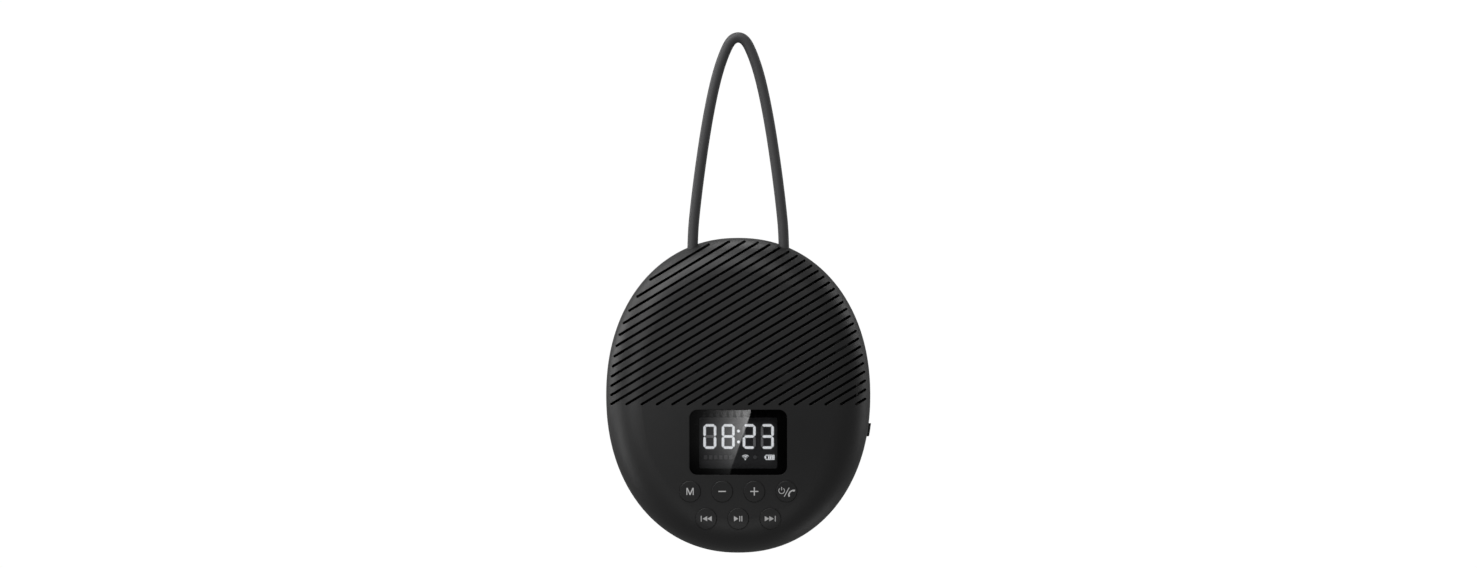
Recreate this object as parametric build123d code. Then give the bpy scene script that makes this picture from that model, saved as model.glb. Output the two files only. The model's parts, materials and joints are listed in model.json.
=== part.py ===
from build123d import *
from functools import lru_cache
import math
import os

# Shower speaker: a pebble-shaped housing with a slotted grille, a clock display, seven buttons,
# a covered charging port, a hanging loop and a twist-on suction cup.
# Millimetres. +X is the user's right, -Y faces the user, +Y the wall, +Z is up.
# The origin is on the wall, at the middle of the suction cup's sealing face.

os.makedirs("parts", exist_ok=True)

# ---- housing ----
body_half_width = 55.2
body_half_height = 65.8
outline_power = 2.135          # superellipse exponent of the front outline
outline_points = 48
outline_start = 202.5          # degrees: the outline's joint lies low on the left, clear of every feature
rear_face_y = -10.0
crown_y = -54.0                # foremost point of the domed front
crown_radius = 240.0
front_edge_radius = 18.0
rear_edge_radius = 13.0
wall = 2.4
parting_y = -31.5              # where front and rear shells meet
seam_depth = 0.35              # shadow line around the parting plane
seam_width = 0.3
seal_inner = 1.8               # the seal lies between these two insets of the outline
seal_outer = 0.8
seal_depth = 0.9
past_front_y = -60.0           # safely in front of everything
clear = 0.15                   # gap around a loose part

# ---- grille ----
slot_angle = 31.0
slot_pitch = 3.29
slot_width = 1.05
slot_first = -9
slot_last = 18
slot_shift = 1.1               # offset of slot number 0 from the middle
slot_side_inset = 1.7          # solid margin beside the slots, and above them
slot_top_inset = 0.95
grille_floor_z = -4.2
slot_back_y = -35.2
mesh_inset = 3.0
mesh_thickness = 0.4
mesh_margin = 6.0

# ---- display ----
lens_width = 40.5
lens_height = 27.0
lens_corner = 3.3
lens_z = -19.5
lens_sink = 0.1                # front of the lens below the shell
lens_thickness = 1.2
frame_thickness = 0.15
window_width = 32.6
window_height = 21.3
window_z = -19.8
window_corner = 0.8
module_width = 34.6
module_height = 23.0
module_front_y = -48.5
segment_proud = 0.3

# ---- clock digits ----
digit_width = 5.45
digit_height = 10.35
digit_z = -17.1
digit_stroke = 1.1
digit_gap = 0.16
digit_centres = [-11.85, -4.18, 4.58, 12.12]
digit_values = "0823"
segments_of = {"0": "abcdef", "8": "abcdefg", "2": "abdeg", "3": "abcdg"}
colon_x = 0.1
colon_drop = 2.25              # each dot above or below the digits' middle
icon_z = -25.8

# ---- buttons ----
button_radius = 4.4
button_proud = 0.35
button_edge = 0.22
button_gap = 0.09              # between a cap and its hole
flange_radius = 5.15
flange_front = wall + 0.2
flange_back = wall + 1.2
keypad_front = flange_back + 0.1
keypad_back = keypad_front + 0.8
keypad_nub_radius = 1.5
row_one_z = -40.0
row_two_z = -51.4
button_places = {
    "button_mode": (-20.1, row_one_z),
    "button_volume_down": (-6.7, row_one_z),
    "button_volume_up": (6.7, row_one_z),
    "button_power_call": (20.1, row_one_z),
    "button_previous": (-13.4, row_two_z),
    "button_play_pause": (0.0, row_two_z),
    "button_next": (13.4, row_two_z),
}

# ---- circuit board ----
board_front_y = -40.6
board_thickness = 1.2
board_back_y = board_front_y + board_thickness
board_half_width = 34.0
board_top_z = -5.0
board_inset = 8.0
board_posts = [(-30.5, -10.0), (30.5, -10.0), (-30.5, -36.0), (30.5, -36.0)]
board_post_radius = 2.6
small_screw_radius = 0.98
small_screw_head = 1.9
small_screw_head_height = 1.3
small_screw_length = 5.0
switch_base = 4.0
switch_height = 1.3
switch_plunger_radius = 1.0
switch_plunger_height = 0.3

# ---- speaker driver ----
driver_z = 27.0
driver_back_y = -20.2
driver_screw_circle = 28.0
flange_w = 21.3                # front of the frame's flange, forward of the driver's back

# ---- battery ----
cell_radius = 9.2
cell_half_length = 32.5
cell_y = -22.7
cell_z = -40.0

# ---- ports and their cover ----
port_y = -26.4
port_half_width = 3.6          # of the cover's recess, along Y
recess_depth = 1.6
pad_inset = 4.4                # the wall behind the recess is this thick
recess_top_z = 16.0
recess_bottom_z = -17.9
cover_thickness = 1.45
cover_gap = 0.2
hinge_z = 10.5
hinge_radius = 0.75
anchor_bottom_z = 11.65
lip_top_z = -11.7
lip_bottom_z = -17.2
lip_proud = 0.95
usb_z = 3.2
usb_length = 9.0
usb_height = 3.2
card_z = -9.45
card_length = 11.9
card_height = 1.5
port_mouth_x = 51.2
port_board_back_y = port_y + usb_height / 2 + board_thickness
port_board_posts = [(36.6, -13.0), (36.6, 6.0)]

# ---- shell screws ----
shell_screw_places = [(-43.0, 20.0), (43.0, 20.0), (-40.0, -34.0), (40.0, -34.0), (0.0, 58.0)]
shell_boss_radius = 3.2
shell_screw_radius = 1.25
shell_screw_head = 2.2
shell_screw_head_y = -27.5
shell_screw_bite = 7.0

# ---- hanging loop ----
cord_diameter = 4.4
cord_y = -34.5
cord_hole_radius = cord_diameter / 2 + clear
ferrule_radius = 3.0
ferrule_top_z = 57.3
ferrule_bottom_z = 52.0
ferrule_floor = 0.5
cord_side = [                  # one side of the loop, from the ferrule up: x, z
    (19.15, 52.5),
    (19.15, 66.0),
    (17.8, 80.0),
    (15.65, 97.0),
    (12.9, 115.0),
    (9.55, 131.5),
    (6.3, 142.2),
    (3.0, 149.5),
]
arc_share = 0.45               # of the shorter run, taken by each arc

# ---- suction cup ----
cup_radius = 36.0
cup_rim_width = 3.0
cup_rim_thickness = 0.9
cup_dish_depth = 3.6
cup_neck_radius = 11.0
cup_back_y = -7.2
hub_radius = 10.5
hub_flange_y = -9.6
hub_stem_radius = 8.0
hub_end_y = -15.4
lug_radius = 12.0
lug_width = 7.0
lug_front_y = -14.4
lug_back_y = -12.5
socket_radius = 16.9
socket_bore_radius = 8.2
socket_face_y = -12.2
socket_cavity_radius = 12.4
socket_cavity_y = -16.0
socket_boss_radius = 19.5
socket_boss_y = -17.6
socket_screw_circle = 14.4
release_angle = 45.0


# ---------------------------------------------------------------- helpers
standing = (Align.CENTER, Align.CENTER, Align.MIN)


def facing(y):
    """Sketch plane at depth y as the user sees it: local x is +X, local y is +Z, normal is -Y."""
    return Plane(origin=(0, y, 0), x_dir=(1, 0, 0), z_dir=(0, -1, 0))


def slab(sketch, back_y, front_y):
    """A sketch made solid from back_y forward to front_y."""
    return extrude(facing(back_y) * sketch, amount=back_y - front_y)


def box_between(x_range, y_range, z_range):
    size = [high - low for low, high in (x_range, y_range, z_range)]
    middle = [(high + low) / 2 for low, high in (x_range, y_range, z_range)]
    return Pos(*middle) * Box(*size)


def rod(x, z, radius, back_y, front_y):
    """A round rod along Y."""
    return slab(Pos(x, z) * Circle(radius), back_y, front_y)


def rods(places, radius, back_y, front_y):
    return [rod(x, z, radius, back_y, front_y) for x, z in places]


def apart(solids):
    """Several solids kept apart in one node."""
    return Compound(children=[solid for item in solids for solid in item.solids()])


def superellipse_reach(angle, half_width, half_height):
    power = 2 / outline_power
    cosine = math.cos(angle)
    sine = math.sin(angle)
    x = half_width * math.copysign(abs(cosine) ** power, cosine)
    z = half_height * math.copysign(abs(sine) ** power, sine)
    return x, z


@lru_cache(maxsize=None)
def outline(inset):
    """The front outline, drawn in by inset."""
    knots = []
    for step in range(outline_points):
        angle = math.radians(outline_start + 360 * step / outline_points)
        knots.append(superellipse_reach(angle, body_half_width - inset, body_half_height - inset))
    return make_face(Spline(*knots, periodic=True))


@lru_cache(maxsize=None)
def pebble(inset):
    """The whole housing's form, drawn in by inset on every side."""
    block = slab(outline(inset), rear_face_y - inset, past_front_y)
    dome = Pos(0, crown_y + crown_radius, 0) * Sphere(crown_radius - inset)
    form = (block & dome).solid()
    form = fillet(form.edges().sort_by(Axis.Y)[0], front_edge_radius - inset)
    return fillet(form.edges().sort_by(Axis.Y)[-1], rear_edge_radius - inset)


def layer(body, outer_inset, inner_inset):
    """The part of body that lies between two insets of the housing's form."""
    return (body & pebble(outer_inset)) - pebble(inner_inset)


def between_depths(back_y, front_y):
    reach = body_half_height * 2
    return box_between((-reach, reach), (front_y, back_y), (-reach, reach))


def edge_x(z, inset):
    """Half-width of the outline at height z."""
    share = abs(z) / (body_half_height - inset)
    return (body_half_width - inset) * (1 - share ** outline_power) ** (1 / outline_power)


def rounded(width, height, corner, z):
    return Pos(0, z) * RectangleRounded(width, height, corner)


def screw(x, z, head_y, head_radius, head_height, radius, length):
    """A pan-head screw pointing forward: its head's front face is at head_y."""
    head = rod(x, z, head_radius, head_y + head_height, head_y)
    head = fillet(head.edges().sort_by(Axis.Y)[-1], head_height * 0.4)
    slot_across = Pos(x, z) * Rectangle(head_radius * 1.2, head_radius * 0.28)
    slot_up = Pos(x, z) * Rectangle(head_radius * 0.28, head_radius * 1.2)
    cross = slab(slot_across + slot_up, head_y + head_height + 1, head_y + head_height * 0.45)
    return (head - cross) + rod(x, z, radius, head_y, head_y - length)


def small_screw(x, z, head_y):
    return screw(x, z, head_y, small_screw_head, small_screw_head_height,
                 small_screw_radius, small_screw_length)


# ---------------------------------------------------------------- housing
def slot_sketch(number):
    """One grille slot, cut off at the outline and at the grille's straight lower border."""
    offset = slot_shift + number * slot_pitch
    along = (math.cos(math.radians(slot_angle)), math.sin(math.radians(slot_angle)))
    half_width = body_half_width - slot_side_inset - slot_width / 2
    half_height = body_half_height - slot_top_inset - slot_width / 2

    def point(distance):
        return (along[0] * distance - along[1] * offset, along[1] * distance + along[0] * offset)

    def reach(direction):
        inside = 0.0
        outside = 2 * body_half_height * direction
        for _ in range(40):
            middle = (inside + outside) / 2
            x, z = point(middle)
            if abs(x / half_width) ** outline_power + abs(z / half_height) ** outline_power < 1:
                inside = middle
            else:
                outside = middle
        return inside

    lowest = (grille_floor_z + slot_width / 2 - along[0] * offset) / along[1]
    start = max(reach(-1), lowest)
    end = reach(1)
    middle = point((start + end) / 2)
    return Pos(*middle) * Rot(0, 0, slot_angle) * SlotCenterToCenter(end - start, slot_width)


def grille_slots():
    sketches = [slot_sketch(number) for number in range(slot_first, slot_last + 1)]
    return [slab(sketch, slot_back_y, past_front_y) for sketch in sketches]


def cord_holes():
    height = body_half_height - ferrule_bottom_z
    hole = Cylinder(cord_hole_radius, height + 8)
    middle_z = ferrule_bottom_z + height / 2
    return [Pos(side * cord_side[0][0], cord_y, middle_z) * hole for side in (-1, 1)]


def driver_screw_places():
    places = []
    for turn in (45, 135, 225, 315):
        x = driver_screw_circle * math.cos(math.radians(turn))
        z = driver_z + driver_screw_circle * math.sin(math.radians(turn))
        places.append((x, z))
    return places


def front_shell():
    shell = layer(between_depths(parting_y, past_front_y), 0.0, wall)
    pocket = slab(rounded(lens_width + 2 * clear, lens_height + 2 * clear, lens_corner + clear, lens_z),
                  parting_y, past_front_y)
    window = slab(rounded(window_width + 0.4, window_height + 0.4, window_corner, window_z),
                  parting_y, past_front_y)
    cuts = grille_slots() + cord_holes() + [window]
    cuts.append(between_depths(parting_y, parting_y - seam_width) - pebble(seam_depth))
    cuts.append(pocket - pebble(lens_sink + lens_thickness + frame_thickness))
    cuts += rods(button_places.values(), button_radius + button_gap, parting_y, past_front_y)
    shell = shell - cuts
    # bosses reach from the inner face of the wall back to what they hold
    driver_seat_y = driver_back_y - flange_w
    bosses = rods(shell_screw_places, shell_boss_radius, parting_y, past_front_y)
    bosses += rods(driver_screw_places(), shell_boss_radius, driver_seat_y, past_front_y)
    bosses += rods(board_posts, board_post_radius, board_front_y, past_front_y)
    inner_form = pebble(wall - 0.1)
    shell = shell + [boss & inner_form for boss in bosses]
    holes = rods(shell_screw_places, shell_screw_radius, parting_y, parting_y - shell_screw_bite)
    holes += rods(driver_screw_places(), small_screw_radius, driver_seat_y, driver_seat_y - 3.0)
    holes += rods(board_posts, small_screw_radius, board_front_y, board_front_y - small_screw_length + 1.0)
    return shell - holes


def recess(inset_in, bottom_z, top_z, half_width):
    """The part of the side wall's layer, down to inset_in, in a window on the user's right."""
    window = box_between((body_half_width - 12, body_half_width + 5),
                         (port_y - half_width, port_y + half_width), (bottom_z, top_z))
    return layer(window, 0.0, inset_in)


def usb_outline(length, height):
    """Stadium on the side wall: its length is along Z and its height along Y."""
    side = Plane(origin=(0, port_y, usb_z), x_dir=(0, 1, 0), z_dir=(1, 0, 0))
    return side * RectangleRounded(height, length, height * 0.42)


def card_box(x_range, gap):
    middle_y = port_y + usb_height / 2 - card_height / 2
    half = card_height / 2 + gap
    return box_between(x_range, (middle_y - half, middle_y + half),
                       (card_z - card_length / 2 - gap, card_z + card_length / 2 + gap))


def rear_shell():
    shell = layer(between_depths(rear_face_y, parting_y), 0.0, wall)
    # columns for the shell screws, a boss for the suction cup's socket, posts for the port board
    blocks = rods(shell_screw_places, shell_boss_radius + 0.6, rear_face_y, parting_y)
    blocks.append(rod(0, 0, socket_boss_radius, rear_face_y, socket_boss_y))
    blocks += rods(port_board_posts, 2.2, rear_face_y, port_board_back_y)
    inner_form = pebble(wall - 0.1)
    # the side wall is thicker behind the port cover
    pad = box_between((body_half_width - 12, body_half_width), (parting_y, -22.0), (-18.5, 17.0))
    shell = shell + [block & inner_form for block in blocks] + layer(pad, wall - 0.1, pad_inset)
    cuts = [layer(between_depths(parting_y + seal_depth, parting_y), seal_outer, seal_inner)]
    cuts += rods(shell_screw_places, shell_screw_radius + 0.15, rear_face_y, parting_y)
    cuts += rods(shell_screw_places, shell_screw_head + clear, rear_face_y, shell_screw_head_y)
    cuts.append(rod(0, 0, socket_radius + 0.1, rear_face_y, socket_face_y))
    cuts.append(rod(0, 0, socket_cavity_radius, rear_face_y, socket_cavity_y))
    cuts += rods(socket_screw_places(), small_screw_radius, socket_face_y, socket_boss_y + 0.6)
    cuts += rods(port_board_posts, small_screw_radius, port_board_back_y + 5.0, port_board_back_y)
    # recess, openings and anchor hole of the port cover
    cuts.append(recess(recess_depth, recess_bottom_z, recess_top_z, port_half_width))
    cuts.append(extrude(Pos(45, 0, 0) * usb_outline(usb_length + 0.6, usb_height + 0.6), amount=12))
    cuts.append(card_box((45, 57), 0.3))
    cuts.append(Pos(50, port_y, (anchor_bottom_z + recess_top_z) / 2) * Rot(0, 90, 0) * Cylinder(1.5, 12))
    return shell - cuts


def shell_seal():
    band = between_depths(parting_y + seal_depth - 0.02, parting_y)
    return layer(band, seal_outer + 0.02, seal_inner - 0.02)


def shell_screws():
    length = shell_screw_head_y - parting_y + shell_screw_bite - 1.0
    return apart([
        screw(x, z, shell_screw_head_y, shell_screw_head, 1.8, shell_screw_radius - 0.02, length)
        for x, z in shell_screw_places
    ])


def screw_plugs():
    plugs = []
    for x, z in shell_screw_places:
        plug = rod(x, z, shell_screw_head + clear - 0.02, 0, rear_face_y - 3.5) & pebble(0.15)
        plugs.append(plug)
    return apart(plugs)


def grille_mesh():
    region = slab(outline(mesh_margin), parting_y - 4, past_front_y)
    region = region & box_between((-60, 60), (past_front_y, parting_y), (grille_floor_z + 1.0, 70))
    mesh = layer(region, mesh_inset, mesh_inset + mesh_thickness)
    holes = rods(shell_screw_places + driver_screw_places(), shell_boss_radius + 0.3, parting_y, past_front_y)
    return mesh - holes


# ---------------------------------------------------------------- display
def display_lens():
    body = slab(rounded(lens_width, lens_height, lens_corner, lens_z), parting_y, past_front_y)
    return layer(body, lens_sink, lens_sink + lens_thickness)


def lens_frame():
    """Black adhesive frame that holds the lens and masks the window's border."""
    body = slab(rounded(lens_width, lens_height, lens_corner, lens_z)
                - rounded(window_width, window_height, window_corner, window_z), parting_y, past_front_y)
    back = lens_sink + lens_thickness
    return layer(body, back, back + frame_thickness)


def display_module():
    body = slab(rounded(module_width, module_height, 0.6, window_z), board_front_y, module_front_y)
    return chamfer(body.edges().group_by(Axis.Y)[0], 0.25)


def bar(x, z, length, upright):
    """A segment with pointed ends."""
    half = length / 2
    side = digit_stroke / 2
    upper = [(-half, 0), (side - half, side), (half - side, side)]
    lower = [(-x, -z) for x, z in upper]
    shape = make_face(Polyline(*upper, *lower, close=True))
    turn = 90 if upright else 0
    return Pos(x, z) * Rot(0, 0, turn) * shape


def segment(name, centre_x):
    half_x = (digit_width - digit_stroke) / 2
    half_z = (digit_height - digit_stroke) / 2
    flat = 2 * half_x - digit_gap
    tall = half_z - digit_gap
    places = {
        "a": (0, half_z, flat, False),
        "b": (half_x, half_z / 2, tall, True),
        "c": (half_x, -half_z / 2, tall, True),
        "d": (0, -half_z, flat, False),
        "e": (-half_x, -half_z / 2, tall, True),
        "f": (-half_x, half_z / 2, tall, True),
        "g": (0, 0, flat, False),
    }
    x, z, length, upright = places[name]
    return bar(centre_x + x, digit_z + z, length, upright)


def segments(lit):
    sketches = []
    for centre_x, value in zip(digit_centres, digit_values):
        for name in "abcdefg":
            if (name in segments_of[value]) == lit:
                sketches.append(segment(name, centre_x))
    if lit:
        for drop in (-colon_drop, colon_drop):
            sketches.append(Pos(colon_x, digit_z + drop) * Circle(0.62))
        sketches += lit_icons()
    else:
        sketches += unlit_icons()
    return apart([slab(sketch, module_front_y, module_front_y - segment_proud) for sketch in sketches])


def wave(x, z, radius, stroke):
    """A quarter ring, opening upwards."""
    ring = Circle(radius) - Circle(radius - stroke)
    wedge = make_face(Polyline((0, 0), (-2 * radius, 2 * radius), (2 * radius, 2 * radius), close=True))
    return Pos(x, z) * (ring & wedge)


def lit_icons():
    """Battery gauge at the right, radio waves beside it."""
    case = Pos(13.25, icon_z) * (RectangleRounded(3.8, 2.1, 0.3) - Rectangle(3.2, 1.5))
    icons = [case + Pos(11.2, icon_z) * Rectangle(0.5, 0.9)]
    icons += [Pos(12.75 + step * 0.85, icon_z) * Rectangle(0.65, 1.2) for step in range(3)]
    icons.append(Pos(2.95, icon_z - 0.9) * Circle(0.26))
    icons += [wave(2.95, icon_z - 0.9, radius, 0.28) for radius in (0.8, 1.4, 2.0)]
    return icons


def unlit_icons():
    marks = [Pos(-13.6 + step * 2.1, icon_z) * RectangleRounded(1.5, 1.7, 0.3) for step in range(6)]
    marks.append(Pos(7.0, icon_z) * Circle(0.8))
    return marks


# ---------------------------------------------------------------- buttons and board
def button(x, z):
    cap = layer(rod(x, z, button_radius, parting_y, past_front_y), -button_proud, flange_back)
    rim = cap.edges().filter_by(lambda edge: edge.center().Y < crown_y + 12 and edge.length > 2)
    front_rim = rim.filter_by(lambda edge: edge.center().Y < cap.center().Y)
    cap = fillet(front_rim, button_edge)
    flange = layer(rod(x, z, flange_radius, parting_y, past_front_y), flange_front, flange_back)
    return cap + flange


def keypad():
    """Silicone sheet behind the caps, with a nub over each switch."""
    sheet_area = Pos(0, (row_one_z + row_two_z) / 2) * RectangleRounded(53.0, 23.0, 4.0)
    region = slab(sheet_area & outline(mesh_margin), parting_y, past_front_y)
    nub_back = board_front_y - switch_height - switch_plunger_height - 0.1
    sheet = layer(region & between_depths(nub_back, past_front_y), keypad_front, keypad_back)
    for x, z in button_places.values():
        nub = rod(x, z, keypad_nub_radius, nub_back, past_front_y)
        sheet = sheet + (nub & pebble(keypad_back - 0.1))
    for x, z in board_posts:
        sheet = sheet - rod(x, z, board_post_radius + 0.3, parting_y, past_front_y)
    return sheet


def main_board():
    area = box_between((-board_half_width, board_half_width), (board_front_y, board_back_y),
                       (-body_half_height, board_top_z))
    board = area & slab(outline(board_inset), board_back_y, board_front_y)
    for x, z in board_posts:
        board = board - rod(x, z, small_screw_radius + 0.2, board_back_y, board_front_y)
    return board


def tact_switches():
    switches = []
    for x, z in button_places.values():
        base = slab(Pos(x, z) * RectangleRounded(switch_base, switch_base, 0.4), board_front_y,
                    board_front_y - switch_height)
        top = board_front_y - switch_height
        switches.append(base + rod(x, z, switch_plunger_radius, top, top - switch_plunger_height))
    return apart(switches)


def chip(x, z, width, height, thickness):
    body = slab(Pos(x, z) * Rectangle(width, height), board_back_y + thickness, board_back_y)
    return chamfer(body.edges().group_by(Axis.Y)[-1], 0.15)


def wireless_module():
    board = chip(-21.0, -24.0, 13.0, 17.0, 0.8)
    can = slab(Pos(-21.0, -26.0) * RectangleRounded(11.0, 11.0, 0.5), board_back_y + 2.6, board_back_y + 0.8)
    return board + can


def control_chips():
    processor = chip(0.0, -22.0, 7.0, 7.0, 1.0)
    amplifier = chip(12.0, -20.0, 5.0, 6.0, 1.4)
    charger = chip(-6.0, -34.0, 4.0, 5.0, 1.2)
    return apart([processor, amplifier, charger])


def capacitors():
    cans = []
    for x, z in [(22.0, -18.0), (22.0, -25.5), (12.0, -12.0)]:
        can = rod(x, z, 3.1, board_back_y + 5.6, board_back_y)
        cans.append(fillet(can.edges().sort_by(Axis.Y)[-1], 0.5))
    return apart(cans)


def microphone():
    return fillet(rod(-26.0, -44.0, 2.0, board_back_y + 1.5, board_back_y).edges().sort_by(Axis.Y)[-1], 0.3)


def board_screws():
    return [small_screw(x, z, board_back_y) for x, z in board_posts]


def battery_socket():
    body = slab(Pos(25.0, -45.0) * Rectangle(7.0, 5.0), board_back_y + 4.4, board_back_y)
    mouth = slab(Pos(25.0, -45.0) * Rectangle(5.6, 3.6), board_back_y + 4.4, board_back_y + 1.2)
    return body - mouth


# ---------------------------------------------------------------- speaker driver
def driver_plane():
    return Plane(origin=(0, driver_back_y, driver_z), x_dir=(1, 0, 0), z_dir=(0, -1, 0))


def disc(radius, low, high):
    """A disc on the driver's axis: low and high are heights forward of its back."""
    return Pos(0, 0, low) * Cylinder(radius, high - low, align=standing)


def funnel(low_radius, high_radius, low, high):
    return Pos(0, 0, low) * Cone(low_radius, high_radius, high - low, align=standing)


def turned(points):
    """A ring turned from an outline of (radius, height) points."""
    face = Plane.XZ * make_face(Polyline(*points, close=True))
    return revolve(face, Axis.Z)


def placed_driver(solid):
    return driver_plane() * solid


def speaker_back_plate():
    plate = disc(15.0, 0, 3.0) + disc(6.0, 3.0, 9.8)
    return placed_driver(chamfer(plate.edges().sort_by(Axis.Z)[0], 0.6))


def speaker_magnet():
    return placed_driver(disc(16.0, 3.0, 8.0) - disc(8.6, 3.0, 8.0))


def speaker_top_plate():
    return placed_driver(disc(15.0, 8.0, 10.5) - disc(7.4, 8.0, 10.5))


def speaker_basket():
    seat = disc(16.4, 10.5, 11.7) - disc(7.8, 10.5, 11.7)
    body = funnel(16.0, 23.6, 10.9, 20.3) - funnel(15.0, 22.6, 10.9, 20.3)
    for turn in range(6):
        window = Rot(0, 0, 60 * turn + 30) * Pos(20, 0, 15.6) * Box(16, 9, 4.4)
        body = body - window
    flange = disc(26.0, 20.1, flange_w) - disc(22.3, 20.1, flange_w)
    for x, z in driver_screw_places():
        flange = flange + Pos(x, z - driver_z) * disc(3.6, 20.1, flange_w)
    flange = flange - disc(22.3, 20.1, flange_w)
    basket = seat + body + flange
    for x, z in driver_screw_places():
        basket = basket - Pos(x, z - driver_z, 20) * Cylinder(small_screw_radius + 0.2, 8)
    return placed_driver(basket)


def speaker_spider():
    """Corrugated centring disc between coil and frame."""
    rings = [(7.25, 0.0), (9.0, 0.5), (10.7, -0.5), (12.4, 0.5), (14.1, -0.5), (15.8, 0.0), (17.3, 0.0)]
    top = [(radius, 14.0 + rise + 0.2) for radius, rise in rings]
    bottom = [(radius, 14.0 + rise - 0.2) for radius, rise in reversed(rings)]
    return placed_driver(turned(top + bottom))


def voice_coil():
    return placed_driver(disc(6.9, 5.0, 14.9) - disc(6.5, 5.0, 14.9))


def speaker_cone():
    back = [(6.95, 14.6), (7.6, 14.6), (19.6, 20.9)]
    front = [(19.6, 21.5), (18.8, 21.5), (6.95, 15.3)]
    return placed_driver(turned(back + front))


def dust_cap():
    height = 2.6
    rim = 8.0
    ball = (rim ** 2 + height ** 2) / (2 * height)
    base = 15.9
    dome = Pos(0, 0, base + height - ball) * (Sphere(ball) - Sphere(ball - 0.35))
    return placed_driver(dome & disc(rim, base, base + height + 1))


def speaker_surround():
    """Half-roll rubber ring between cone and flange."""
    middle = 21.75
    roll = Pos(middle, 21.55) * (Circle(2.1) - Circle(1.6))
    upper = Pos(middle, 21.55 + 3) * Rectangle(6, 6)
    feet = Pos(18.9 + 0.55, 21.8) * Rectangle(1.5, 0.45)
    face = Plane.XZ * ((roll & upper) + feet)
    return placed_driver(revolve(face, Axis.Z))


def speaker_collar():
    """Foam collar that seals the driver's flange to the grille cloth."""
    front = driver_back_y - flange_w
    ring = rod(0, driver_z, 25.8, front, past_front_y) - rod(0, driver_z, 24.1, front, past_front_y)
    ring = ring & pebble(mesh_inset + mesh_thickness + 0.05)
    return ring - rods(driver_screw_places(), shell_boss_radius + 0.15, parting_y, past_front_y)


def speaker_terminal():
    strip = box_between((-5.0, 5.0), (driver_back_y - 20.1, driver_back_y - 19.1), (-0.4, 2.6))
    tab = box_between((-1.0, 1.0), (driver_back_y - 19.1, driver_back_y - 16.0), (0.2, 0.7))
    return strip + [Pos(x, 0, 0) * tab for x in (-3, 3)]


def speaker_screws():
    return apart([small_screw(x, z, driver_back_y - 20.1) & between_depths(0, driver_back_y - flange_w - 2.9)
                  for x, z in driver_screw_places()])


# ---------------------------------------------------------------- battery and wires
def battery_cell():
    can = Pos(0, cell_y, cell_z) * Rot(0, 90, 0) * Cylinder(cell_radius, 2 * cell_half_length)
    can = fillet(can.edges().filter_by(GeomType.CIRCLE), 0.8)
    button_end = Pos(cell_half_length + 0.5, cell_y, cell_z) * Rot(0, 90, 0) * Cylinder(2.8, 1.0)
    return can + button_end


def battery_end_insulators():
    ring = Cylinder(8.4, 0.4) - Cylinder(3.2, 0.4)
    plain = Cylinder(8.4, 0.4)
    right = Pos(cell_half_length + 0.2, cell_y, cell_z) * Rot(0, 90, 0) * ring
    left = Pos(-cell_half_length - 0.2, cell_y, cell_z) * Rot(0, 90, 0) * plain
    return apart([right, left])


def battery_cradles():
    """Two foam saddles between the cell and the rear wall."""
    saddles = []
    for x in (-22.0, 22.0):
        block = box_between((x - 5, x + 5), (cell_y, rear_face_y), (cell_z - 9.0, cell_z + 9.0))
        bore = Pos(x, cell_y, cell_z) * Rot(0, 90, 0) * Cylinder(cell_radius + 0.05, 12)
        saddles.append((block - bore) & pebble(wall + 0.05))
    return apart(saddles)


def protection_board():
    """Small board on the cell's positive end."""
    x = cell_half_length + 1.05
    board = box_between((x, x + 0.8), (cell_y - 3.0, cell_y + 3.0), (cell_z - 7.5, cell_z + 7.5))
    return board + box_between((x + 0.8, x + 1.8), (cell_y - 1.5, cell_y + 1.5), (cell_z - 2.0, cell_z + 2.0))


def wire(points, diameter, bend):
    """A thin lead along straight runs joined by arcs."""
    path = FilletPolyline(*points, radius=bend)
    start = Plane(origin=path @ 0, z_dir=path % 0)
    return sweep(start * Circle(diameter / 2), path=path)


def battery_wires():
    leads = []
    for side in (-1, 1):
        start_x = cell_half_length + 2.45
        end_x = 29.0 + side * 1.2
        bend_y = -35.2 - side * 0.9
        z = cell_z + side * 5.5
        leads.append(wire([(start_x, cell_y - 2.2, z), (start_x, bend_y, z), (end_x, bend_y, z)], 1.1, 1.6))
    return apart(leads)


def speaker_wires():
    leads = []
    for x in (-3.0, 3.0):
        points = [
            (x, driver_back_y - 15.9, 0.0),
            (x, driver_back_y - 12.0, -2.0),
            (x, driver_back_y - 12.0, -12.0),
            (x, board_back_y, -12.0),
        ]
        leads.append(wire(points, 1.1, 1.4))
    return apart(leads)


# ---------------------------------------------------------------- ports
def port_board():
    plate = box_between((34.0, 48.6), (port_board_back_y - board_thickness, port_board_back_y), (-17.0, 9.5))
    for x, z in port_board_posts:
        plate = plate - rod(x, z, small_screw_radius + 0.2, 0, past_front_y)
    return plate


def port_board_screws():
    """The board's screws point back into the rear shell."""
    screws = []
    for x, z in port_board_posts:
        turned_round = Pos(x, port_board_back_y - board_thickness, z) * Rot(0, 0, 180)
        screws.append(turned_round * small_screw(0, 0, 0))
    return screws


def usb_port():
    can = extrude(Pos(port_mouth_x - 7.3, 0, 0) * usb_outline(usb_length, usb_height), amount=7.3)
    inside = usb_outline(usb_length - 0.7, usb_height - 0.7)
    hollow = extrude(Pos(port_mouth_x - 6.3, 0, 0) * inside, amount=6.3)
    tongue = box_between((port_mouth_x - 6.3, port_mouth_x - 0.8), (port_y - 0.35, port_y + 0.35),
                         (usb_z - 3.3, usb_z + 3.3))
    return (can - hollow) + tongue


def card_slot():
    body = card_box((port_mouth_x - 11.8, port_mouth_x), 0.0)
    mouth = card_box((port_mouth_x - 10.8, port_mouth_x), -0.3)
    return body - mouth


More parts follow.
